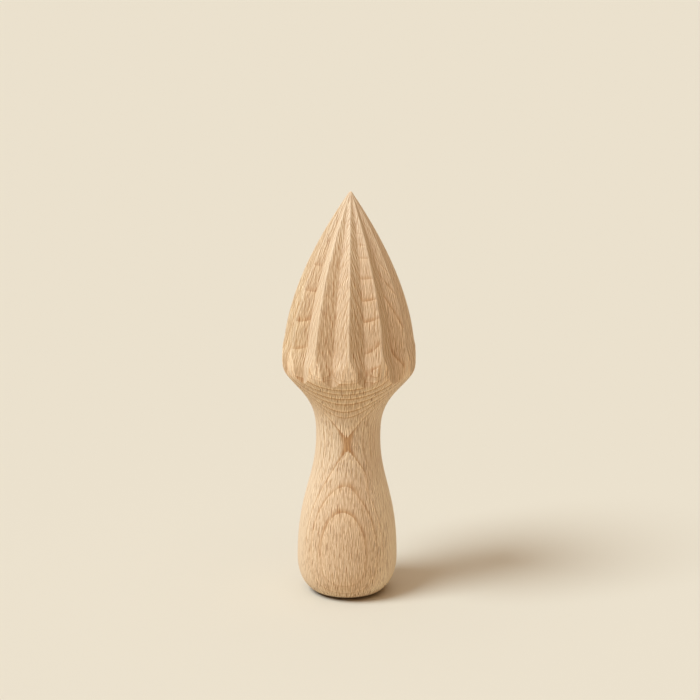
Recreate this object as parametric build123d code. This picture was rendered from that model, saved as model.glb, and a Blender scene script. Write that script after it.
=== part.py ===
from build123d import *
import os
from math import cos, radians, sin

# Hand citrus reamer, turned from one billet of beech: a pear-shaped grip, a waist and a
# pointed head with V-shaped flutes. Millimetres, +Z up the turning axis, origin at the
# centre of the flat foot. One ridge of the head faces -Y, the side it is looked at from.

# Lengths along the turning axis, one after another from the foot to the point
bulb_height = 13.4  # foot to the widest part of the grip
grip_length = 46.3  # widest part of the grip to the waist
flare_length = 18.7  # waist to the middle of the head's underside
rim_rise = 10.0  # middle of the underside to the rim
head_length = 61.6  # rim to the point

# Radii
foot_radius = 9.5
bulb_radius = 18.5
waist_radius = 11.8
rim_radius = 24.3
underside_inset = 5.8  # middle of the underside, in from the rim
tip_radius = 0.8  # ball that blunts the point

# Slopes of the turned outline, in degrees from the turning axis
underside_slope = 42.0
tip_slope = 34.8

# Flutes
flute_count = 12
flute_depth = 3.0  # floor of a flute below the turned surface, at the rim
ridge_drop = 0.27  # edge between two flutes below the turned surface, at the rim
exit_depth = 1.5  # floor of a flute inside the rim's radius, where it leaves through the underside
runout_share = 0.25  # share of the head's curve below which a flute lifts towards its exit

# Fullness of the turned curves: pull of each end tangent, as a share of the stretch it spans
heel_pull_at_foot = 0.465
heel_pull_at_bulb = 0.70
grip_pull_at_bulb = 0.52
grip_pull_at_waist = 0.35
flare_pull_at_waist = 0.385
flare_pull_at_underside = 0.48
rim_pull_at_underside = 0.73
rim_pull_at_rim = 0.39
head_pull_at_rim = 0.16
head_pull_at_tip = 0.61
runout_pull_at_exit = 0.25
runout_pull_at_head = 0.50

# Heights that follow from the lengths
waist_height = bulb_height + grip_length
underside_height = waist_height + flare_length
rim_height = underside_height + rim_rise
total_height = rim_height + head_length

up = Vector(0, 0, 1)
outward = Vector(1, 0, 0)


def station(radius, height):
    # Point of the turned outline, drawn in the XZ plane
    return outward * radius + up * height


def leaning(slope):
    # Unit direction that leans outwards from the turning axis by the given slope
    return outward * sin(radians(slope)) + up * cos(radians(slope))


def pulled_curve(start, start_pull, end, end_pull):
    # Control points of a curve between two stations, from the pull of its end tangents
    return [start, start + start_pull, end - end_pull, end]


def upper_part(points, share):
    # Control points of what is left of a curve above the given share of its run
    kept = []
    row = points
    while row:
        kept.insert(0, row[-1])
        row = [low + (high - low) * share for low, high in zip(row, row[1:])]
    return kept


def extended(start, end, height):
    # Point at the given height on the straight line through two points
    return start + (end - start) * ((height - start.Z) / (end.Z - start.Z))


# Stations of the turned outline
axis_foot = station(0, 0)
foot = station(foot_radius, 0)
bulb = station(bulb_radius, bulb_height)
waist = station(waist_radius, waist_height)
underside = station(rim_radius - underside_inset, underside_height)
rim = station(rim_radius, rim_height)
tip_side = station(tip_radius * cos(radians(tip_slope)),
                   total_height - tip_radius * (1 - sin(radians(tip_slope))))
tip_top = station(0, total_height)

underside_lean = leaning(underside_slope)
tip_lean = leaning(-tip_slope)

heel_curve = pulled_curve(foot, outward * (bulb_radius - foot_radius) * heel_pull_at_foot,
                          bulb, up * bulb_height * heel_pull_at_bulb)
grip_curve = pulled_curve(bulb, up * grip_length * grip_pull_at_bulb,
                          waist, up * grip_length * grip_pull_at_waist)
flare_curve = pulled_curve(waist, up * flare_length * flare_pull_at_waist,
                           underside, underside_lean * flare_length * flare_pull_at_underside)
rim_curve = pulled_curve(underside, underside_lean * rim_rise * rim_pull_at_underside,
                         rim, up * rim_rise * rim_pull_at_rim)
head_curve = pulled_curve(rim, up * head_length * head_pull_at_rim,
                          tip_side, tip_lean * head_length * head_pull_at_tip)


def turned_blank():
    # The outline spun once round the turning axis
    outline = [Line(axis_foot, foot)]
    for points in (heel_curve, grip_curve, flare_curve, rim_curve, head_curve):
        outline.append(Bezier(*points))
    outline.append(TangentArc(tip_side, tip_top, tangent=tip_lean))
    outline.append(Line(tip_top, axis_foot))
    return revolve(make_face(outline), axis=Axis.Z)


def flute_cutter():
    # V-shaped cutter on the +X side. Its floor keeps a fixed share of the head's radius down to
    # the run-out, lifts there to the exit depth and leaves straight through the underside. Its two
    # walls rise sideways from that floor, as steeply as puts the edges between flutes at the
    # ridge drop.
    half_pitch = radians(180 / flute_count)
    floor_share = 1 - flute_depth / rim_radius
    ridge_share = 1 - ridge_drop / rim_radius
    wall_slope = (cos(half_pitch) - floor_share / ridge_share) / sin(half_pitch)

    floor = [station(point.X * floor_share, point.Z) for point in upper_part(head_curve, runout_share)]
    exit_end = station(rim_radius - exit_depth, rim_height)
    low_end = station(rim_radius - exit_depth, underside_height)
    high_end = extended(floor[-1], floor[-2], total_height + tip_radius)
    runout_rise = floor[0].Z - rim_height
    runout = pulled_curve(exit_end, up * runout_rise * runout_pull_at_exit,
                          floor[0], (floor[1] - floor[0]).normalized() * runout_rise * runout_pull_at_head)
    reach = 2 * rim_radius
    section = make_face([
        Line(low_end, exit_end),
        Bezier(*runout),
        Bezier(*floor),
        Line(floor[-1], high_end),
        Line(high_end, station(reach, high_end.Z)),
        Line(station(reach, high_end.Z), station(reach, low_end.Z)),
        Line(station(reach, low_end.Z), low_end),
    ])
    walls = [Solid.extrude(section.face(), Vector(wall_slope, side, 0) * rim_radius) for side in (1, -1)]
    return walls[0] + walls[1]


def reamer():
    # The turned head with its flutes cut, a ridge at -Y
    pitch = 360 / flute_count
    cutter = flute_cutter()
    cutters = [Rot(Z=-90 + pitch * (index + 0.5)) * cutter for index in range(flute_count)]
    return turned_blank() - cutters


os.makedirs("parts", exist_ok=True)
export_step(reamer(), "parts/reamer.step")
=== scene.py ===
import math

import bpy
import numpy as np
from mathutils import Matrix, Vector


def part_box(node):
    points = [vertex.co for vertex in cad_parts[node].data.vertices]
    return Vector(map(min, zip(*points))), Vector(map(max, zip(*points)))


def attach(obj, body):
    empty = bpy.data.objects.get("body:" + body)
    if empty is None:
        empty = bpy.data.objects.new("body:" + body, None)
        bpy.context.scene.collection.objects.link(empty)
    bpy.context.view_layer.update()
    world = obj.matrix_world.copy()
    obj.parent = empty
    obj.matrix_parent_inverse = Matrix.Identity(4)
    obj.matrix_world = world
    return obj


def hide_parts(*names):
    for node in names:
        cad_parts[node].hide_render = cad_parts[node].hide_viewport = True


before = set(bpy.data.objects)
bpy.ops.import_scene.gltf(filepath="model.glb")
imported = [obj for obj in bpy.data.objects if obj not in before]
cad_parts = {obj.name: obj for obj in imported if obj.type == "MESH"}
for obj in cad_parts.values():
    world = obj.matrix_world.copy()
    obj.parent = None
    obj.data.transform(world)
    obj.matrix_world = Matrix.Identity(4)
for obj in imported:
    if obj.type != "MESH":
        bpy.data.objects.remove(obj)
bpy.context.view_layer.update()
bpy.context.scene.view_settings.view_transform = "Standard"
print("frame loaded, nodes:", sorted(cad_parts))

mm = 0.001

# Reamer shape, millimetres. The outline is a chain of cubic curves between stations on the turned body.
reamerShape = {
    "footRadius": 9.5,
    "bulbRadius": 18.5,
    "bulbHeight": 13.4,
    "waistRadius": 11.8,
    "waistHeight": 59.7,
    "undersideRadius": 18.5,
    "undersideHeight": 78.4,
    "undersideSlope": 42.0,  # degrees from the turning axis
    "rimHeight": 88.4,
    "tipRadius": 0.8,
    "tipSlope": 34.8,
    "pulls": {  # reach of the end tangents of each curve, low end then high end
        "heel": (4.19, 9.38),
        "grip": (24.1, 16.2),
        "flare": (7.2, 9.0),
        "rim": (7.3, 3.9),
        "head": (9.86, 37.6),
        "runout": (2.55, 5.1),
    },
    "fluteCount": 12,
    "fluteDepth": 3.0,
    "ridgeDrop": 0.27,
    "exitDepth": 1.5,  # flute floor inside the rim's radius, where it leaves through the underside
    "runoutShare": 0.25,
    "floorBeyond": 20,  # steps of the head's curve by which a flute's floor runs on past the point
    "ridgeWear": 0.11,  # half width of the rounded crest of a ridge
    "ridgeWander": 0.07,  # how far a crest or valley strays sideways
    "wanderWaves": (31.0, 13.0, 5.3, 2.4),  # lengths of the waves in which it strays
    "wanderStretch": (0.85, 1.15),  # least and most by which a wave is stretched
    "wanderFade": (6.0, 8.0),  # heights over which it sets in at the rim and dies out at the point
    "crestWidth": 0.45,  # reach of the wear and the painted highlight on a crest
    "valleyShadeWidth": 0.6,  # reach of the painted shade in a valley
    "crestValleyFade": 3.0,  # height over which both set in at the rim
    "cutFade": 0.12,  # depth at which a wall counts as cut
    "footSteps": 40,
    "ballSteps": 12,
    "rowStep": 0.5,
    "landColumns": (0.35, 0.7, 0.9, 1.0),  # shares of the half land, from the crest outwards
    "wallColumns": (0.03, 0.15, 0.4, 0.65, 0.87, 0.97, 1.0),  # shares of a wall, down to the valley
    "widestLand": 0.985,  # most of a half pitch that a land takes up
    "widestCrest": 0.5,  # most of a half pitch that a crest takes up
    "evenHeight": 9.0,  # height below the flutes over which the columns even out
    "seed": 7,
}


# cubic curve: the four points weighed by (1-t)^3, 3(1-t)^2 t, 3(1-t) t^2 and t^3
def cubicCurve(points, steps=401):
    t = np.linspace(0.0, 1.0, steps)[:, None]
    p0, p1, p2, p3 = (np.asarray(p, float) for p in points)
    return (1 - t) ** 3 * p0 + 3 * (1 - t) ** 2 * t * p1 + 3 * (1 - t) * t ** 2 * p2 + t ** 3 * p3


# unit step that leans out from the turning axis by the given slope, as (radius, height)
def leaning(slope):
    return np.array([math.sin(math.radians(slope)), math.cos(math.radians(slope))])


def headCurvePoints(shape):
    tipStep = leaning(-shape["tipSlope"])
    rim = np.array([shape["rimRadius"], shape["rimHeight"]])
    tip = np.array([shape["tipRadius"] * tipStep[1],
                    shape["totalHeight"] - shape["tipRadius"] * (1 + tipStep[0])])
    low, high = shape["pulls"]["head"]
    return [rim, rim + (0, low), tip - high * tipStep, tip]


# the turned outline as one polyline of (radius, height), from the foot's centre to the point
def turnedOutline(shape):
    up = np.array([0.0, 1.0])
    out = np.array([1.0, 0.0])
    under = leaning(shape["undersideSlope"])
    foot = np.array([shape["footRadius"], 0.0])
    bulb = np.array([shape["bulbRadius"], shape["bulbHeight"]])
    waist = np.array([shape["waistRadius"], shape["waistHeight"]])
    underside = np.array([shape["undersideRadius"], shape["undersideHeight"]])
    head = headCurvePoints(shape)
    stretches = {
        "heel": (foot, out, bulb, up),
        "grip": (bulb, up, waist, up),
        "flare": (waist, up, underside, under),
        "rim": (underside, under, head[0], up),
    }
    line = [np.linspace((0, 0), foot, shape["footSteps"])[:-1]]
    for name, (start, startStep, end, endStep) in stretches.items():
        low, high = shape["pulls"][name]
        line.append(cubicCurve([start, start + low * startStep, end - high * endStep, end])[:-1])
    line.append(cubicCurve(head)[:-1])
    # ball at the point: a circle arc from the head's slope to level
    turn = np.linspace(-math.radians(shape["tipSlope"]), -math.pi / 2, shape["ballSteps"])
    centre = shape["totalHeight"] - shape["tipRadius"]
    ball = np.stack([np.cos(turn), -np.sin(turn)], 1) * shape["tipRadius"] + (0, centre)
    line.append(ball)
    return np.concatenate(line)


# rows at even steps along the outline: their radius, their height and their share of the whole run
def outlineRows(shape):
    outline = turnedOutline(shape)
    run = np.concatenate([[0], np.cumsum(np.linalg.norm(np.diff(outline, axis=0), axis=1))])
    steps = int(run[-1] / shape["rowStep"])
    at = np.linspace(0, run[-1], steps + 1)[1:-1]
    return np.interp(at, run, outline[:, 0]), np.interp(at, run, outline[:, 1]), at / run[-1]


# radius of a flute's floor at each height: straight up from the exit to the rim, a cubic lift to the head,
# then a fixed share of the head's curve, carried straight on past the point
def fluteFloor(shape, heights):
    share = 1 - shape["fluteDepth"] / shape["rimRadius"]
    curve = cubicCurve(headCurvePoints(shape)) * (share, 1)
    upper = curve[int(shape["runoutShare"] * (len(curve) - 1)):]
    step = (upper[1] - upper[0]) / np.linalg.norm(upper[1] - upper[0])
    exitEnd = np.array([shape["rimRadius"] - shape["exitDepth"], shape["rimHeight"]])
    low, high = shape["pulls"]["runout"]
    lift = cubicCurve([exitEnd, exitEnd + (0, low), upper[0] - high * step, upper[0]])
    below = exitEnd - (0, shape["rimHeight"])
    beyond = upper[-1] + (upper[-1] - upper[-2]) * shape["floorBeyond"]
    line = np.concatenate([[below], lift, upper[1:], [beyond]])
    return np.interp(heights, line[:, 1], line[:, 0])


# half angle of the land between two flutes in each row: where a wall meets the turned surface. Below the
# flutes it eases, by a smooth step, to the width that spaces all columns evenly.
def landAngles(shape, radius, height, floor, wallSlope, exitHeight):
    halfPitch = math.pi / shape["fluteCount"]
    widest = shape["widestLand"] * halfPitch
    ratio = np.clip(floor / radius / math.hypot(1, wallSlope), -1, 1)
    cutAngle = np.arccos(ratio) - math.atan(wallSlope)
    crest = np.minimum(shape["ridgeWear"] / radius, shape["widestCrest"] * halfPitch)
    land = np.clip(halfPitch - np.maximum(cutAngle, 0), crest, widest)
    landCount = len(shape["landColumns"])
    wallCount = len(shape["wallColumns"])
    evenLand = halfPitch * landCount / (landCount + wallCount)
    fade = np.clip((exitHeight - height) / shape["evenHeight"], 0, 1)
    fade = fade * fade * (3 - 2 * fade)
    return np.where(height < exitHeight, widest + (evenLand - widest) * fade, land)


# sum of a few seeded sine waves up the rows, one set for each flute; the longer waves swing further
def softWander(rng, heights, shape):
    waves = shape["wanderWaves"]
    flutes = shape["fluteCount"]
    total = np.zeros((len(heights), flutes))
    for wave in waves:
        phase = rng.uniform(0, 2 * math.pi, flutes)
        stretch = rng.uniform(*shape["wanderStretch"], flutes)
        swing = math.sqrt(wave / waves[0])
        total += np.sin(2 * math.pi * heights[:, None] / wave * stretch + phase) * swing
    return total


# closed tube of quads over (row, column) with a single point at both ends; the map runs once round by the
# share across and up by the share along, and each field gives one number for every (row, column)
def closedGrid(name, rings, bottom, top, across, along, fields):
    rows, columns = rings.shape[:2]
    points = np.concatenate([rings.reshape(-1, 3), [bottom], [top]])
    row = np.arange(rows - 1)[:, None] * columns
    above = row + columns
    col = np.arange(columns)
    nextCol = (col + 1) % columns
    quads = np.stack(np.broadcast_arrays(row + col, row + nextCol, above + nextCol, above + col), -1)
    lastRow = (rows - 1) * columns
    low = np.stack([nextCol, col, np.full(columns, rows * columns)], 1)
    high = np.stack([lastRow + col, lastRow + nextCol, np.full(columns, rows * columns + 1)], 1)
    mesh = bpy.data.meshes.new(name)
    mesh.from_pydata(points.tolist(), [], quads.reshape(-1, 4).tolist() + low.tolist() + high.tolist())
    mesh.shade_smooth()

    left = across
    right = np.append(across[1:], 1.0)
    middle = (left + right) / 2
    sides = np.stack([left, right, right, left], -1)
    ends = np.stack([along[:-1], along[:-1], along[1:], along[1:]], -1)
    quadU = np.broadcast_to(sides, (rows - 1, columns, 4))
    quadV = np.broadcast_to(ends[:, None, :], quadU.shape)
    lowU = np.stack([right, left, middle], -1)
    highU = np.stack([left, right, middle], -1)
    lowV = np.broadcast_to([along[0], along[0], 0.0], lowU.shape)
    highV = np.broadcast_to([along[-1], along[-1], 1.0], highU.shape)
    u = np.concatenate([quadU.ravel(), lowU.ravel(), highU.ravel()])
    v = np.concatenate([quadV.ravel(), lowV.ravel(), highV.ravel()])
    mesh.uv_layers.new(name="OFBake").data.foreach_set("uv", np.stack([u, v], 1).ravel())
    for label, values in fields.items():
        spread = mesh.attributes.new(label, "FLOAT", "POINT")
        spread.data.foreach_set("value", np.append(values.ravel(), [0.0, 0.0]))
    mesh.update()
    return mesh


# each row of the outline is a closed ring: radius = least of the turned radius and the two flute walls,
# wall radius = floor / (cos a - k sin a) at the angle a from the flute's middle
def buildReamer(shape):
    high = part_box("reamer")[1]
    shape["totalHeight"] = high.z / mm
    shape["rimRadius"] = high.x / mm
    rng = np.random.default_rng(shape["seed"])
    flutes = shape["fluteCount"]
    halfPitch = math.pi / flutes
    floorShare = 1 - shape["fluteDepth"] / shape["rimRadius"]
    ridgeShare = 1 - shape["ridgeDrop"] / shape["rimRadius"]
    wallSlope = (math.cos(halfPitch) - floorShare / ridgeShare) / math.sin(halfPitch)

    radius, height, along = outlineRows(shape)
    floor = fluteFloor(shape, height)
    exitHeight = height[(height > shape["undersideHeight"]) & (floor < radius)].min()
    land = landAngles(shape, radius, height, floor, wallSlope, exitHeight)

    # columns of one half pitch, measured from the ridge's crest
    landShares = np.array((0.0,) + shape["landColumns"])
    wallShares = np.array(shape["wallColumns"])
    half = np.concatenate([land[:, None] * landShares,
                           land[:, None] + (halfPitch - land)[:, None] * wallShares], 1)
    fromValley = halfPitch - np.maximum(half, land[:, None])
    wall = floor[:, None] / (np.cos(fromValley) - wallSlope * np.sin(fromValley))
    fluted = (height > exitHeight - shape["rowStep"])[:, None]
    cut = np.where(fluted, np.minimum(radius[:, None], wall), radius[:, None])

    # mirror the half pitch and repeat it round the axis; crests and valleys each stray a little by themselves
    pitchAngle = np.concatenate([-half[:, :0:-1], half[:, :-1]], 1)
    pitchRadius = np.concatenate([cut[:, :0:-1], cut[:, :-1]], 1)
    setIn, dieOut = shape["wanderFade"]
    onFlutes = np.clip((height - exitHeight) / setIn, 0, 1)
    onFlutes = onFlutes * np.clip((shape["totalHeight"] - height) / dieOut, 0, 1)
    reach = (shape["ridgeWander"] * onFlutes / radius)[:, None]
    crestStray = softWander(rng, height, shape) * reach
    valleyStray = softWander(rng, height, shape) * reach
    toValley = (np.abs(pitchAngle) / halfPitch)[:, None, :]
    nearValley = np.where((pitchAngle > 0)[:, None, :], valleyStray[:, :, None],
                          np.roll(valleyStray, 1, 1)[:, :, None])
    stray = crestStray[:, :, None] * (1 - toValley) + nearValley * toValley
    middle = 2 * halfPitch * np.arange(flutes) - math.pi / 2
    azimuth = (middle[None, :, None] + stray + pitchAngle[:, None, :]).reshape(len(height), -1)
    ringRadius = np.tile(pitchRadius, (1, flutes))
    rings = np.stack([ringRadius * np.cos(azimuth), ringRadius * np.sin(azimuth),
                      np.repeat(height[:, None], azimuth.shape[1], 1)], -1)

    # fields: 1 on a ridge's crest, for wear and a painted highlight, and 1 in a valley, for painted shade,
    # fading over the given widths
    onHead = np.clip((height - exitHeight) / shape["crestValleyFade"], 0, 1)[:, None]
    fromCrest = np.abs(pitchAngle) * radius[:, None] / shape["crestWidth"]
    fromFloor = (halfPitch - np.abs(pitchAngle)) * radius[:, None] / shape["valleyShadeWidth"]
    crestField = np.tile(np.exp(-fromCrest ** 2) * onHead, (1, flutes))
    valleyShadeField = np.tile(np.exp(-fromFloor ** 2) * onHead, (1, flutes))

    # 1 on a cut wall, and 1 on the right-hand wall of each ridge, which the material darkens with painted
    # shade
    cutField = np.clip((radius[:, None] - ringRadius) / shape["cutFade"], 0, 1)
    paintedShadeWall = np.clip(pitchAngle / land[:, None], 0, 1)
    paintedShadeWallField = np.tile(paintedShadeWall, (1, flutes)) * cutField

    across = azimuth.mean(0)
    across = (across - across[0]) / (2 * math.pi)
    mesh = closedGrid("reamer", rings * mm, (0, 0, 0), (0, 0, shape["totalHeight"] * mm), across, along,
                      {"crest": crestField, "valley": valleyShadeField, "cut": cutField, "paintedShadeWall": paintedShadeWallField})
    piece = bpy.data.objects.new("turned_reamer", mesh)
    bpy.context.scene.collection.objects.link(piece)
    print("reamer surface:", rings.shape[0], "rows,", rings.shape[1], "columns,", len(mesh.polygons), "faces")
    return piece


# Beech, sizes in millimetres. The billet was cut beside the pith, which runs up behind the piece. Levels in a
# pair are where something starts and where it is full, and in a set of four also where it ends.
beechWood = {
    "pithBehind": 35.65,  # pith behind the turning axis, at the foot
    "pithRight": 2.0,  # pith right of the turning axis, at the foot
    "leanBack": 0.0503,  # pith moves back this much for each millimetre of height
    "leanRight": 0.0398,
    # yearly rings that show on the front: outer edge, outwards from the turning axis, and how dark it is
    "frontRings": ((12.75, 0.55), (14.1, 0.30), (14.9, 1.0), (16.45, 0.80), (18.15, 0.85),
                   (20.5, 0.80), (22.5, 0.90), (23.95, 0.85), (25.25, 0.75), (26.62, 0.80),
                   (27.8, 0.65), (29.4, 0.60), (31.0, 0.60)),
    "backRings": (1.0, 2.0, 30),  # narrowest and widest ring behind those, and how many
    "backDarkness": (0.35, 0.9),  # least and most of how dark those are
    "ringWarp": 0.24,  # how far the slow noise shifts the rings
    "ringFray": 0.08,  # how far the fibres fray their edges
    "leftSpread": 0.0012,  # rings run flatter on the left: shift for each square millimetre
    # the inner rings swell round the waist by a quadratic: constant, x, z, x x, x z, z z, z from swellHeight
    "waistSwell": (-0.135, 0.068, -0.055, 0.0063, -0.0023, -0.0013),
    "swellHeight": 60.0,
    "swellSpan": (40.0, 50.0, 74.0, 86.0),
    "swellRings": (18.2, 16.0),  # rings further out don't swell, rings further in swell fully
    # on the left walls of the head the rings lie level: constant, z, z z and x z, with z from leftWallFoot
    "leftWall": (0.42, -0.155, 0.0030, -0.0047),
    "leftWallFoot": 95.0,
    "leftWallAcross": (-7.5, -9.5),
    "leftWallHeight": (88.0, 94.0),
    "leftWallFade": 0.1,  # and show this much less there
    "underSpread": (22.0, 0.30),  # under the head the rings from here outwards stand wider, by this share
    "underHeight": (88.0, 85.0),
    "lateSpan": (0.76, 0.98),  # share of a ring's width with its dark late edge
    "lateEdge": 0.75,  # how dark that edge is
    "lateRise": (0.15, 0.2),  # slow darkening towards it, and how much more of that shows on end grain
    "lateTint": (0.72, 0.52, 0.34),
    "earlySpan": (0.32, 0.04),  # share of a ring's width with its pale early wood
    "earlyTint": (1.10, 1.10, 1.09),
    "ringBreaks": (0.1, 0.55),  # levels of the broad streaks between which a ring comes through
    "ringOnEnd": 1.2,  # how much more the rings show on end grain
    "ringSpan": (8.0, 34.0, 112.0, 140.0),  # heights between which they show fully
    "ringRest": 0.4,  # and how much of them shows near the foot and the point
    "saddle": (54.5, 58.0, 62.0, 66.0),  # heights where they run along the waist and show most
    "saddleGain": 0.4,
    "faintAcross": (-12.0, -9.0, -1.5, 0.5),  # walls of the head on which they show less
    "faintHeight": (88.0, 94.0),
    "faintShare": 0.6,
    "fibre": (3.8, 0.30, 0.30),  # fibres for each millimetre: across a set of them, up, and into the wood
    "fibreSets": 4,  # sets of fibres, each turned on from the last
    "fibreApart": 100.0,  # how far up the noise a set may start
    "fibreDetail": 1.0,
    "fibreStep": 1.4,  # fibres are the difference of two noises this far apart, so that they never clump
    "fibreFacing": (0.895, 0.950),  # how squarely a surface faces a set that it shows
    "fibreLevel": 0.5,  # level between a light and a dark fibre
    "fibreGain": 1.75,
    "broadStretch": (0.06, 0.4),  # broad streaks: how closely they change, up the billet and outwards
    "broadNoise": (0.8, 3.0),  # their scale and detail
    "slowNoise": (0.05, 2.0),  # scale and detail of a slow noise over the whole billet
    "lightFibre": (0.82, 0.595, 0.375),
    "darkFibre": (0.47, 0.225, 0.075),
    "lightShare": 0.635,  # share of the light fibre, and what the broad streaks and the slow noise add to it
    "broadShade": 0.12,
    "slowShade": 0.2,
    "calmAcross": (-4.0, -13.0),  # weaker fibres on the left of the grip
    "calmHeight": (60.0, 46.0),
    "calmShare": 0.3,
    "cutTear": 0.15,  # how much stronger the fibres show on a cut wall
    "paintedReliefShade": 0.4,  # and, as painted relief shade, on the right-hand wall of each ridge
    "paleTint": (1.07, 1.145, 1.235),  # across the rings, and on the waist and the point
    "paleFacing": (1.0, 0.7),  # share of the normal that points away from the pith
    "waist": (38.0, 58.0, 66.0, 80.0),
    "point": (120.0, 142.0),
    "rimTint": (1.21, 1.255, 1.29),  # the turned surface between the flutes
    "rim": (82.0, 86.0),
    "rimShare": 0.8,
    "paleStripAndFillTint": (1.10, 1.16, 1.195),  # paler on the lower right of the grip, a painted fill light on its shaded side, and in a strip on the left of the head
    "paintedFillAcross": (5.0, 13.0),
    "paintedFillHeight": (52.0, 40.0),
    "headStripAcross": (-13.5, -18.0),
    "headStripHeight": (86.0, 94.0),
    "cutTint": (0.947, 0.924, 0.902),  # flute walls, cut and not sanded, beside the sanded turned surface
    "paintedShadeTint": (0.88, 0.845, 0.785),  # painted shade: the right-hand wall of each ridge, which faces away from the key lamp on the front, darkened all round
    "endGrainAndShadeTint": (0.96, 0.985, 0.975),  # darker end grain facing down, on the underside of the head, partly painted shade there
    "endFacing": (-0.25, -0.7),  # upward share of the normal
    "contactShadowTint": (0.30, 0.25, 0.21),  # painted contact shadow: the lowest millimetres of the foot, darkened where it meets the floor
    "contactShadowHeight": (2.0, 0.8),
    "crestWearAndHighlight": (0.92, 0.73, 0.50),  # crests lighter: worn wood, and a painted highlight along the ridge lines
    "crestShare": 0.3,
    "valleyShadeColour": (0.50, 0.29, 0.15),  # painted shade in the valleys
    "valleyShadeShare": 0.2,
    "bigFleck": (0.44, 7.5, 0.34),  # ray flecks: spacing across and along the grain, and largest size
    "smallFleck": (0.34, 4.0, 0.28),
    "tick": (1.1, 4.6, 0.24),  # the widest rays, which show most on end grain
    "tickRest": 0.5,  # and how much of them shows elsewhere
    "fleckColour": (0.32, 0.125, 0.040),
    "fineColour": (0.47, 0.225, 0.080),
    "fleckSize": (0.15, 0.85, 1.4),  # least share of the largest, the rest, and a power that keeps most small
    "fleckEdge": 0.3,
    "fleckDarkness": (0.3, 0.7),  # how dark the faintest fleck is, and how much more the darkest
    "rayFacing": (0.6, 0.95),  # flecks show where the surface lies along the rings
    "rayShare": (0.1, 0.9),  # how much of them shows across the rings, and how much more along them
    "rayOnCut": 0.25,  # how much less on a cut wall
    "rayOnEnd": 0.9,  # how much on end grain
    "roughness": (0.50, 0.68),
    "fibreRough": 0.1,
    "specular": 0.45,
    "bigFleckDip": 0.5,  # depth of the flecks and height of the late wood, beside the fibres
    "smallFleckDip": 0.35,
    "lateHeight": 0.25,
    "bumpStrength": 0.6,
    "bumpDepth": 0.013,
    "seed": 11,
}


# adds a node, sets its fields, and fills its sockets with values or links
def addNode(tree, kind, sockets=None, **fields):
    node = tree.nodes.new("ShaderNode" + kind)
    for name, value in fields.items():
        setattr(node, name, value)
    for key, value in (sockets or {}).items():
        if isinstance(value, bpy.types.NodeSocket):
            tree.links.new(value, node.inputs[key])
        else:
            node.inputs[key].default_value = value
    return node


def addMaths(tree, operation, first, second=0.0, third=0.0, clamp=False):
    sockets = {0: first, 1: second, 2: third}
    return addNode(tree, "Math", sockets, operation=operation, use_clamp=clamp).outputs[0]


def addProduct(tree, first, second):
    return addMaths(tree, "MULTIPLY", first, second)


# value times gain, plus offset
def addScaled(tree, value, gain, offset):
    return addMaths(tree, "MULTIPLY_ADD", value, gain, offset)


def addLarger(tree, first, second):
    return addMaths(tree, "MAXIMUM", first, second)


# smooth step of a number from one level to another, 0 to 1, also when the levels fall
def addStep(tree, value, low, high):
    sockets = {"Value": value, "From Min": low, "From Max": high}
    return addNode(tree, "MapRange", sockets, interpolation_type="SMOOTHSTEP").outputs["Result"]


# 1 between the two middle levels, fading to 0 at the outer ones
def addSpan(tree, value, levels):
    start, full, ending, gone = levels
    return addProduct(tree, addStep(tree, value, start, full), addStep(tree, value, gone, ending))


# 1 past both the given levels across and the given heights
def addPatch(tree, x, across, z, heights):
    return addProduct(tree, addStep(tree, x, *across), addStep(tree, z, *heights))


def addPlace(tree, x, y, z):
    return addNode(tree, "CombineXYZ", {0: x, 1: y, 2: z}).outputs[0]


def addNoise(tree, place, scale, detail):
    return addNode(tree, "TexNoise", {"Vector": place, "Scale": scale, "Detail": detail}).outputs[0]


# one of the fields that the surface carries
def addField(tree, label):
    return addNode(tree, "Attribute", attribute_name=label).outputs["Fac"]


# colour between two colours, which sit in sockets 6 and 7 of the Mix node and leave by its output 2
def addBlend(tree, share, first, second, way="MIX", clamp=True):
    ends = [end if isinstance(end, bpy.types.NodeSocket) else (*end, 1) for end in (first, second)]
    node = addNode(tree, "Mix", data_type="RGBA", blend_type=way, clamp_factor=clamp,
                   sockets={0: share, 6: ends[0], 7: ends[1]})
    return node.outputs[2]


def addTint(tree, share, colour, tint):
    return addBlend(tree, share, colour, tint, "MULTIPLY")


# straight-sided curve through the given (x, y) points, both already scaled to 0..1
def addCurve(tree, value, points):
    node = addNode(tree, "FloatCurve", {"Value": value})
    line = node.mapping.curves[0]
    for place in points[1:-1]:
        line.points.new(*place)
    for point, place in zip(line.points, points):
        point.location = place
        point.handle_type = "VECTOR"
    node.mapping.update()
    return node.outputs[0]


# grain directions: distance out from the leaning pith, the way round it, and the share of the normal that
# points away from it, which is 1 where the surface lies along the rings
def addGrain(tree, wood, x, y, z, facing):
    sideways = addMaths(tree, "SUBTRACT", x, addScaled(tree, z, wood["leanRight"], wood["pithRight"]))
    inFront = addMaths(tree, "SUBTRACT", addScaled(tree, z, wood["leanBack"], wood["pithBehind"]), y)
    squares = addMaths(tree, "ADD", addProduct(tree, sideways, sideways), addProduct(tree, inFront, inFront))
    fromPith = addMaths(tree, "SQRT", squares)
    around = addProduct(tree, addMaths(tree, "ARCTAN2", sideways, inFront), fromPith)
    away = addMaths(tree, "SUBTRACT", addProduct(tree, facing[0], sideways),
                    addProduct(tree, facing[1], inFront))
    along = addMaths(tree, "ABSOLUTE", addMaths(tree, "DIVIDE", away, fromPith))
    return fromPith, around, along


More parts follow.
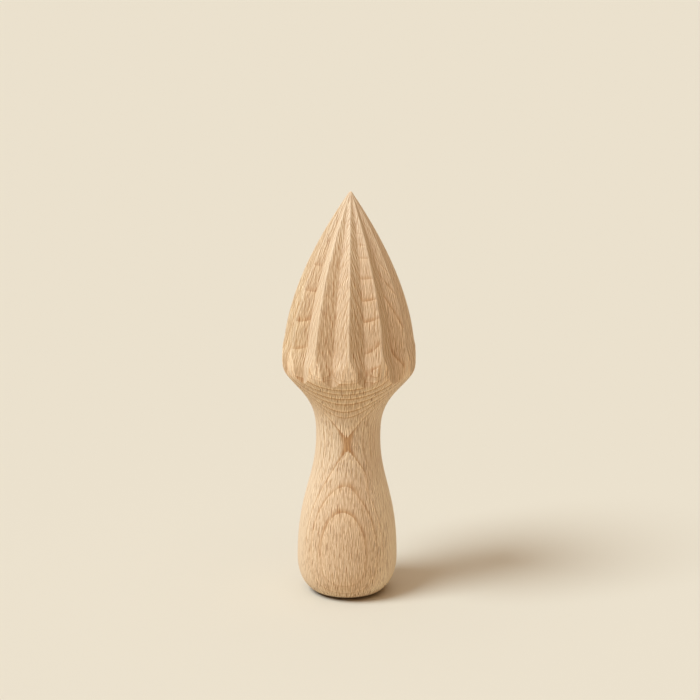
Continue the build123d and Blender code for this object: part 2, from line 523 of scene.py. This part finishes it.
# fibres run up the billet in sets of thin upright sheets, and a surface shows the set that it cuts most
# squarely, so that they run straight up it from every side
def addFibres(tree, wood, rng, x, y, z, facing):
    turn = addMaths(tree, "ARCTAN2", facing[0], addProduct(tree, facing[1], -1.0))
    perAcross, perUp, perIn = wood["fibre"]
    fibre = wood["fibreLevel"]
    for number in range(wood["fibreSets"]):
        angle = math.pi * number / wood["fibreSets"]
        across = addScaled(tree, x, perAcross * math.cos(angle),
                           addProduct(tree, y, perAcross * math.sin(angle)))
        inwards = addScaled(tree, x, perIn * math.sin(angle), addProduct(tree, y, -perIn * math.cos(angle)))
        upwards = addScaled(tree, z, perUp, float(rng.uniform(0, wood["fibreApart"])))
        noises = []
        for start in (across, addMaths(tree, "ADD", across, wood["fibreStep"])):
            noises.append(addNoise(tree, addPlace(tree, start, upwards, inwards), 1.0, wood["fibreDetail"]))
        away = addMaths(tree, "COSINE", addMaths(tree, "SUBTRACT", turn, angle))
        shown = addStep(tree, addMaths(tree, "ABSOLUTE", away), *wood["fibreFacing"])
        fibre = addScaled(tree, addMaths(tree, "SUBTRACT", *noises), shown, fibre)
    return fibre


# distance outwards at which the rings are counted: that from the pith, less the pith's own from the turning
# axis, and shifted where the rings of this billet run otherwise
def addRingDistance(tree, wood, x, z, fromPith, onWall, slow, fibre):
    onLeft = addMaths(tree, "MINIMUM", x, 0.0)
    flatter = addScaled(tree, addProduct(tree, onLeft, onLeft), wood["leftSpread"], -wood["pithBehind"])
    outwards = addMaths(tree, "ADD", fromPith, flatter)

    # swell round the waist
    byNone, byX, byZ, byXX, byXZ, byZZ = wood["waistSwell"]
    above = addMaths(tree, "SUBTRACT", z, wood["swellHeight"])
    swellX = addScaled(tree, x, byXX, addScaled(tree, above, byXZ, byX))
    swellZ = addScaled(tree, above, byZZ, byZ)
    swell = addScaled(tree, x, swellX, addScaled(tree, above, swellZ, byNone))
    swollen = addProduct(tree, addStep(tree, outwards, *wood["swellRings"]),
                         addSpan(tree, z, wood["swellSpan"]))
    outwards = addScaled(tree, swell, swollen, outwards)

    # level rings on the left walls of the head
    wallNone, wallZ, wallZZ, wallXZ = wood["leftWall"]
    climb = addMaths(tree, "SUBTRACT", z, wood["leftWallFoot"])
    tilt = addScaled(tree, x, wallXZ, addScaled(tree, climb, wallZZ, wallZ))
    outwards = addScaled(tree, addScaled(tree, climb, tilt, wallNone), onWall, outwards)

    # wider rings under the head
    firstWide, widerBy = wood["underSpread"]
    outer = addLarger(tree, addMaths(tree, "SUBTRACT", outwards, firstWide), 0.0)
    wider = addProduct(tree, addStep(tree, z, *wood["underHeight"]), -widerBy)
    outwards = addScaled(tree, outer, wider, outwards)

    # slow warp, and edges frayed by the fibres
    warp = addScaled(tree, slow, wood["ringWarp"], -wood["ringWarp"] / 2)
    fray = addScaled(tree, fibre, wood["ringFray"], -wood["ringFray"] * wood["fibreLevel"])
    return addMaths(tree, "ADD", addMaths(tree, "ADD", outwards, warp), fray)


# yearly rings: one curve counts them outwards and another says how dark each is; gives how far across its
# ring a place lies, 0 to 1, and that darkness
def addRings(tree, wood, rng, outwards):
    thinnest, widest, count = wood["backRings"]
    behind = wood["frontRings"][0][0] - np.cumsum(rng.uniform(thinnest, widest, count))[::-1]
    edges = np.concatenate([behind, [edge for edge, dark in wood["frontRings"]]])
    darkness = np.concatenate([rng.uniform(*wood["backDarkness"], count),
                               [dark for edge, dark in wood["frontRings"]]])
    inmost, outmost, total = edges[0], edges[-1], len(edges) - 1
    scaled = addMaths(tree, "DIVIDE", addMaths(tree, "SUBTRACT", outwards, inmost), outmost - inmost)
    shares = (edges - inmost) / (outmost - inmost)
    counted = addCurve(tree, scaled, [(share, i / total) for i, share in enumerate(shares)])
    strength = addCurve(tree, counted, [(i / total, dark) for i, dark in enumerate(darkness)])
    phase = addMaths(tree, "FRACT", addProduct(tree, counted, float(total)))
    print("rings counted:", len(edges))
    return phase, strength


# how much of the rings shows: broken by the broad streaks, more on end grain and along the waist, less near
# the foot and the point and on some walls of the head
def addRingShare(tree, wood, x, z, strength, broadFibre, endGrain, onWall):
    broken = addProduct(tree, strength, addStep(tree, broadFibre, *wood["ringBreaks"]))
    broken = addProduct(tree, broken, addScaled(tree, endGrain, wood["ringOnEnd"], 1.0))
    kept = addScaled(tree, addSpan(tree, z, wood["ringSpan"]), 1 - wood["ringRest"], wood["ringRest"])
    kept = addScaled(tree, addSpan(tree, z, wood["saddle"]), wood["saddleGain"], kept)
    faint = addProduct(tree, addSpan(tree, x, wood["faintAcross"]), addStep(tree, z, *wood["faintHeight"]))
    kept = addProduct(tree, kept, addScaled(tree, faint, -wood["faintShare"], 1.0))
    kept = addProduct(tree, kept, addScaled(tree, onWall, -wood["leftWallFade"], 1.0))
    return addProduct(tree, broken, kept)


# flecks in cells of the given spacing: a spindle at a random place in each cell, of random size and darkness
def addFlecks(tree, wood, around, z, fleck):
    spaceAcross, spaceAlong, largest = fleck
    place = addPlace(tree, addMaths(tree, "DIVIDE", around, spaceAcross),
                     addMaths(tree, "DIVIDE", z, spaceAlong), 0.0)
    cells = addNode(tree, "TexVoronoi", {"Vector": place, "Scale": 1.0, "Randomness": 1.0},
                    voronoi_dimensions="2D", feature="F1")
    luck = addNode(tree, "SeparateColor", {0: cells.outputs["Color"]}).outputs
    smallest, rest, power = wood["fleckSize"]
    size = addScaled(tree, addMaths(tree, "POWER", luck[0], power), largest * rest, largest * smallest)
    outside = addMaths(tree, "DIVIDE", cells.outputs["Distance"], size)
    inside = addMaths(tree, "SUBTRACT", 1.0, outside, clamp=True)
    faintest, more = wood["fleckDarkness"]
    return addProduct(tree, addStep(tree, inside, 0.0, wood["fleckEdge"]),
                      addScaled(tree, luck[1], more, faintest))


# rays: sheets that run out from the pith, seen as spindles where the surface lies along the rings, as ticks
# on end grain, and hardly at all across the rings
def addRays(tree, wood, around, z, along, cut, endGrain):
    least, more = wood["rayShare"]
    shown = addScaled(tree, addStep(tree, along, *wood["rayFacing"]), more, least)
    shown = addProduct(tree, shown, addScaled(tree, cut, -wood["rayOnCut"], 1.0))
    shown = addLarger(tree, shown, addProduct(tree, endGrain, wood["rayOnEnd"]))
    tickShown = addLarger(tree, endGrain, addProduct(tree, shown, wood["tickRest"]))
    bigFlecks = addProduct(tree, addFlecks(tree, wood, around, z, wood["bigFleck"]), shown)
    ticks = addProduct(tree, addFlecks(tree, wood, around, z, wood["tick"]), tickShown)
    smallFlecks = addProduct(tree, addFlecks(tree, wood, around, z, wood["smallFleck"]), shown)
    return addLarger(tree, bigFlecks, ticks), smallFlecks


def makeBeech(wood):
    rng = np.random.default_rng(wood["seed"])
    material = bpy.data.materials.new("beech")
    material.use_nodes = True
    tree = material.node_tree
    shader = tree.nodes["Principled BSDF"]

    # place in millimetres, the way that the surface faces, and the fields that it carries
    place = addNode(tree, "VectorMath", {0: addNode(tree, "TexCoord").outputs["Object"], "Scale": 1 / mm},
                    operation="SCALE").outputs[0]
    x, y, z = addNode(tree, "SeparateXYZ", {0: place}).outputs
    facing = addNode(tree, "SeparateXYZ", {0: addNode(tree, "NewGeometry").outputs["Normal"]}).outputs
    crest, valley, cut, paintedShadeWall = (addField(tree, label) for label in ("crest", "valley", "cut", "paintedShadeWall"))

    # fibres, broad streaks, and a slow noise over the whole billet
    fromPith, around, along = addGrain(tree, wood, x, y, z, facing)
    fibre = addFibres(tree, wood, rng, x, y, z, facing)
    perUp, perOut = wood["broadStretch"]
    longPlace = addPlace(tree, around, addProduct(tree, z, perUp), addProduct(tree, fromPith, perOut))
    broadFibre = addNoise(tree, longPlace, *wood["broadNoise"])
    slow = addNoise(tree, place, *wood["slowNoise"])

    # within one ring the wood darkens slowly to a thin late edge, and starts pale
    endGrain = addStep(tree, facing[2], *wood["endFacing"])
    onWall = addPatch(tree, x, wood["leftWallAcross"], z, wood["leftWallHeight"])
    outwards = addRingDistance(tree, wood, x, z, fromPith, onWall, slow, fibre)
    phase, strength = addRings(tree, wood, rng, outwards)
    ringShare = addRingShare(tree, wood, x, z, strength, broadFibre, endGrain, onWall)
    slowRise, riseOnEnd = wood["lateRise"]
    gradual = addProduct(tree, phase, addScaled(tree, endGrain, riseOnEnd, slowRise))
    lateEdge = addProduct(tree, addStep(tree, phase, *wood["lateSpan"]), wood["lateEdge"])
    lateWood = addMaths(tree, "MULTIPLY", addMaths(tree, "ADD", gradual, lateEdge), ringShare, clamp=True)
    earlyWood = addMaths(tree, "MULTIPLY", addStep(tree, phase, *wood["earlySpan"]), ringShare, clamp=True)
    bigFlecks, smallFlecks = addRays(tree, wood, around, z, along, cut, endGrain)

    # colour of the fibres, which show more where the cutter tore them, more again as painted relief shade on
    # the right-hand wall of each ridge, and less on the left of the grip
    base = addScaled(tree, slow, wood["slowShade"], wood["lightShare"])
    base = addScaled(tree, broadFibre, wood["broadShade"], base)
    strand = addScaled(tree, fibre, wood["fibreGain"], -wood["fibreGain"] * wood["fibreLevel"])
    calm = addPatch(tree, x, wood["calmAcross"], z, wood["calmHeight"])
    tornAndShaded = addScaled(tree, cut, wood["cutTear"], addScaled(tree, paintedShadeWall, wood["paintedReliefShade"], 1.0))
    tornAndShaded = addScaled(tree, calm, -wood["calmShare"], tornAndShaded)
    streak = addScaled(tree, strand, tornAndShaded, base)
    colour = addBlend(tree, streak, wood["darkFibre"], wood["lightFibre"], clamp=False)

    # paler wood, partly painted fill light on the right of the grip, then early and late wood and flecks
    turned = addProduct(tree, addStep(tree, cut, 1.0, 0.0), addStep(tree, z, *wood["rim"]))
    pale = addLarger(tree, addSpan(tree, z, wood["waist"]), addStep(tree, z, *wood["point"]))
    pale = addLarger(tree, pale, addProduct(tree, turned, wood["rimShare"]))
    pale = addLarger(tree, pale, addStep(tree, along, *wood["paleFacing"]))
    colour = addTint(tree, pale, colour, addBlend(tree, turned, wood["paleTint"], wood["rimTint"]))
    paleStripAndFill = addLarger(tree, addPatch(tree, x, wood["paintedFillAcross"], z, wood["paintedFillHeight"]),
                    addPatch(tree, x, wood["headStripAcross"], z, wood["headStripHeight"]))
    colour = addTint(tree, paleStripAndFill, colour, wood["paleStripAndFillTint"])
    colour = addTint(tree, earlyWood, colour, wood["earlyTint"])
    colour = addTint(tree, lateWood, colour, wood["lateTint"])
    colour = addBlend(tree, smallFlecks, colour, wood["fineColour"])
    colour = addBlend(tree, bigFlecks, colour, wood["fleckColour"])

    # cut walls; painted shade on the right-hand wall of each ridge; darker end grain facing down, partly
    # painted shade under the head; a painted contact shadow at the foot; crests lighter with wear and a
    # painted highlight; painted shade in the valleys
    colour = addTint(tree, cut, colour, wood["cutTint"])
    colour = addTint(tree, paintedShadeWall, colour, wood["paintedShadeTint"])
    colour = addTint(tree, endGrain, colour, wood["endGrainAndShadeTint"])
    colour = addTint(tree, addStep(tree, z, *wood["contactShadowHeight"]), colour, wood["contactShadowTint"])
    colour = addBlend(tree, addProduct(tree, crest, wood["crestShare"]), colour, wood["crestWearAndHighlight"])
    colour = addBlend(tree, addProduct(tree, valley, wood["valleyShadeShare"]), colour, wood["valleyShadeColour"])
    tree.links.new(colour, shader.inputs["Base Color"])

    # the late wood is denser and smoother, flecks are smooth too, worn crests are burnished
    low, high = wood["roughness"]
    smooth = addLarger(tree, addLarger(tree, lateWood, bigFlecks), crest)
    rough = addScaled(tree, fibre, wood["fibreRough"], high - wood["fibreRough"] * wood["fibreLevel"])
    tree.links.new(addScaled(tree, smooth, low - high, rough), shader.inputs["Roughness"])
    shader.inputs["Specular IOR Level"].default_value = wood["specular"]

    # fibres stand proud, flecks lie deeper and late wood is raised
    relief = addScaled(tree, smallFlecks, -wood["smallFleckDip"], fibre)
    relief = addScaled(tree, bigFlecks, -wood["bigFleckDip"], relief)
    relief = addScaled(tree, lateWood, wood["lateHeight"], relief)
    bump = addNode(tree, "Bump", {"Height": relief, "Strength": wood["bumpStrength"],
                                  "Distance": wood["bumpDepth"] * mm})
    tree.links.new(bump.outputs[0], shader.inputs["Normal"])
    print("beech ready:", len(tree.nodes), "nodes")
    return material


# Studio: pale floor, a soft key lamp from the upper left, a wide soft lamp overhead and a faint warm room.
# Angles in degrees, floor in metres.
studio = {
    "floorColour": (0.735, 0.668, 0.54),
    "floorHalf": 12.0,
    "keyAzimuth": 27.5,  # towards the viewer from straight left
    "keyElevation": 51.0,
    "keySpread": 28.0,
    "keyStrength": 2.71,
    "keyColour": (0.85, 1.0, 1.145),
    "topSpread": 80.0,
    "topStrength": 0.93,
    "topColour": (1.02, 1.0, 0.95),
    "roomColour": (1.0, 0.62, 0.325),
    "roomStrength": 0.258,
    "backdropColour": (0.830, 0.754, 0.611),  # what the camera and reflections see past the floor
}


# sun lamp that shines from the given elevation and azimuth; it shines along its own -Z, so it is tipped up
# from the left first and then swung towards the viewer
def makeSun(name, strength, colour, spread, elevation, azimuth):
    data = bpy.data.lights.new(name, "SUN")
    data.energy = strength
    data.color = colour
    data.angle = math.radians(spread)
    lamp = bpy.data.objects.new(name, data)
    lamp.rotation_euler = (0, -math.radians(90 - elevation), math.radians(azimuth))
    bpy.context.scene.collection.objects.link(lamp)


def makeFloor(setup):
    size = setup["floorHalf"]
    corners = [(-size, -size, 0), (size, -size, 0), (size, size, 0), (-size, size, 0)]
    mesh = bpy.data.meshes.new("floor")
    mesh.from_pydata(corners, [], [(0, 1, 2, 3)])
    floor = bpy.data.objects.new("floor", mesh)
    bpy.context.scene.collection.objects.link(floor)
    paper = bpy.data.materials.new("paleFloor")
    paper.use_nodes = True
    shader = paper.node_tree.nodes["Principled BSDF"]
    shader.inputs["Base Color"].default_value = (*setup["floorColour"], 1)
    shader.inputs["Roughness"].default_value = 1.0
    shader.inputs["Specular IOR Level"].default_value = 0.0
    mesh.materials.append(paper)


# the room lights the piece faintly; seen past the floor or in a reflection it is the pale backdrop
def makeRoom(setup):
    world = bpy.data.worlds.new("room")
    world.use_nodes = True
    tree = world.node_tree
    room = tree.nodes["Background"]
    room.inputs["Color"].default_value = (*setup["roomColour"], 1)
    room.inputs["Strength"].default_value = setup["roomStrength"]
    backdrop = addNode(tree, "Background", {"Color": (*setup["backdropColour"], 1)})
    ray = addNode(tree, "LightPath").outputs
    mirrored = addLarger(tree, ray["Is Glossy Ray"], ray["Is Transmission Ray"])
    seen = addLarger(tree, ray["Is Camera Ray"], mirrored)
    mixed = addNode(tree, "MixShader", {0: seen, 1: room.outputs[0], 2: backdrop.outputs[0]})
    tree.links.new(mixed.outputs[0], tree.nodes["World Output"].inputs["Surface"])
    bpy.context.scene.world = world


def makeStudio(setup):
    makeFloor(setup)
    makeSun("keyLamp", setup["keyStrength"], setup["keyColour"], setup["keySpread"],
            setup["keyElevation"], setup["keyAzimuth"])
    makeSun("topLamp", setup["topStrength"], setup["topColour"], setup["topSpread"], elevation=90, azimuth=0)
    makeRoom(setup)
    print("studio ready")


# Camera at the photo's viewpoint, millimetres and degrees; it sees as far as clipEnd, in metres
photoCamera = {
    "place": (0.345, -630.0, 244.44),
    "pitchDown": 13.613,
    "roll": 0.556,
    "lens": 91.625,
    "sensor": 36.0,
    "clipEnd": 100.0,
}


def makeCamera(view):
    data = bpy.data.cameras.new("photoCamera")
    data.sensor_width = view["sensor"]
    data.lens = view["lens"]
    data.clip_end = view["clipEnd"]
    camera = bpy.data.objects.new("photoCamera", data)
    bpy.context.scene.collection.objects.link(camera)
    camera.matrix_world = (Matrix.Translation([c * mm for c in view["place"]])
                           @ Matrix.Rotation(math.radians(90 - view["pitchDown"]), 4, "X")
                           @ Matrix.Rotation(math.radians(view["roll"]), 4, "Z"))
    bpy.context.scene.camera = camera
    print("camera set")


reamer = buildReamer(reamerShape)
reamer.data.materials.append(makeBeech(beechWood))
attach(reamer, "root")
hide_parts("reamer")

makeStudio(studio)
makeCamera(photoCamera)
